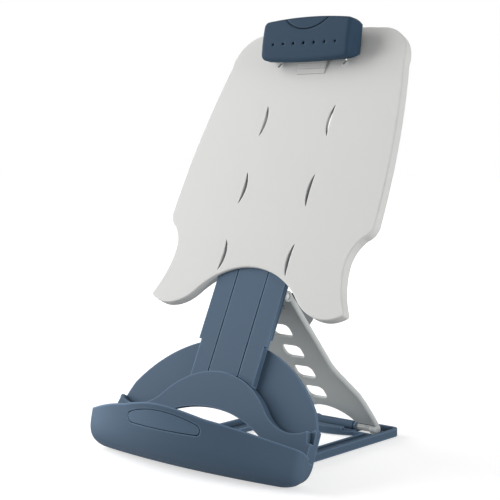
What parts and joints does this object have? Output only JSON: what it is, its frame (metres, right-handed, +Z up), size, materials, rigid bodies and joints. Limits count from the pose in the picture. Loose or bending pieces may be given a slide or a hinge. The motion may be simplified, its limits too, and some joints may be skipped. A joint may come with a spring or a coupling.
{
  "type": "desk document holder",
  "caption": "Easel document holder: sliding page panel with a sprung clip, bowed book trough, column and folding rear strut on an open floor frame.",
  "frame": {"origin": "centre of the footprint box, on the table under the feet", "axes": "+Z up, +X to the reader's right, the reader stands at -Y facing +Y"},
  "size_m": [0.2198, 0.2291, 0.3547],
  "materials": {
    "panel_plastic": "fine matte texture, warm light grey",
    "body_plastic": "fine matte texture, slate blue-grey",
    "cover_plastic": "matte, darker slate",
    "badge_plastic": "smooth matte, blank",
    "strut_plastic": "satin mid grey",
    "latch_plastic": "matte dark grey, ribbed",
    "axle_plastic": "pale smooth rod",
    "spring_steel": "drawn wire",
    "pin_steel": "ground",
    "screw_steel": "zinc",
    "rubber": "matte"
  },
  "bodies": {
    "base": {"base_frame": "body_plastic", "lean_pin_left": "pin_steel", "lean_pin_right": "pin_steel", "rubber_foot_1": "rubber", "rubber_foot_2": "rubber", "rubber_foot_3": "rubber", "rubber_foot_4": "rubber"},
    "strut": {"strut": "strut_plastic", "strut_axle": "axle_plastic", "latch_slide": "latch_plastic", "tip_bar": "pin_steel"},
    "book_rest": {"book_rest": "body_plastic", "badge_plate": "badge_plastic", "rest_pad_1": "rubber", "rest_pad_2": "rubber", "column": "body_plastic", "column_back": "cover_plastic", "column_screws": "screw_steel", "height_detent_spring": "spring_steel"},
    "panel": {"document_panel": "panel_plastic", "clip_bracket": "body_plastic", "bracket_screws": "screw_steel", "clip_spring": "spring_steel"},
    "clip": {"clip_body": "body_plastic", "clip_wire_jaw": "spring_steel", "clip_pin": "pin_steel"}
  },
  "joints": [
    {"name": "lean", "type": "hinge", "parent": "base", "child": "book_rest", "pos_m": [0, -0.05201, 0.00802], "axis": [-1, 0, 0], "range_deg": [0, 14]},
    {"name": "prop_swing", "type": "hinge", "parent": "base", "child": "strut", "pos_m": [0, 0.103, 0.005], "axis": [-1, 0, 0], "range_deg": [0, 27.38]},
    {"name": "panel_height", "type": "slide", "parent": "book_rest", "child": "panel", "axis": [0, 0.4321, 0.9018], "range_m": [-0.088, 0]},
    {"name": "clip_open", "type": "hinge", "parent": "panel", "child": "clip", "pos_m": [0, 0.07271, 0.3347], "axis": [-1, 0, 0], "range_deg": [0, 20], "stiffness_Nm_per_rad": 0.1, "springref_deg": -17.19}
  ],
  "couplings": [
    {"joint": "prop_swing", "follows": "lean", "ratio": 1.9557}
  ]
}
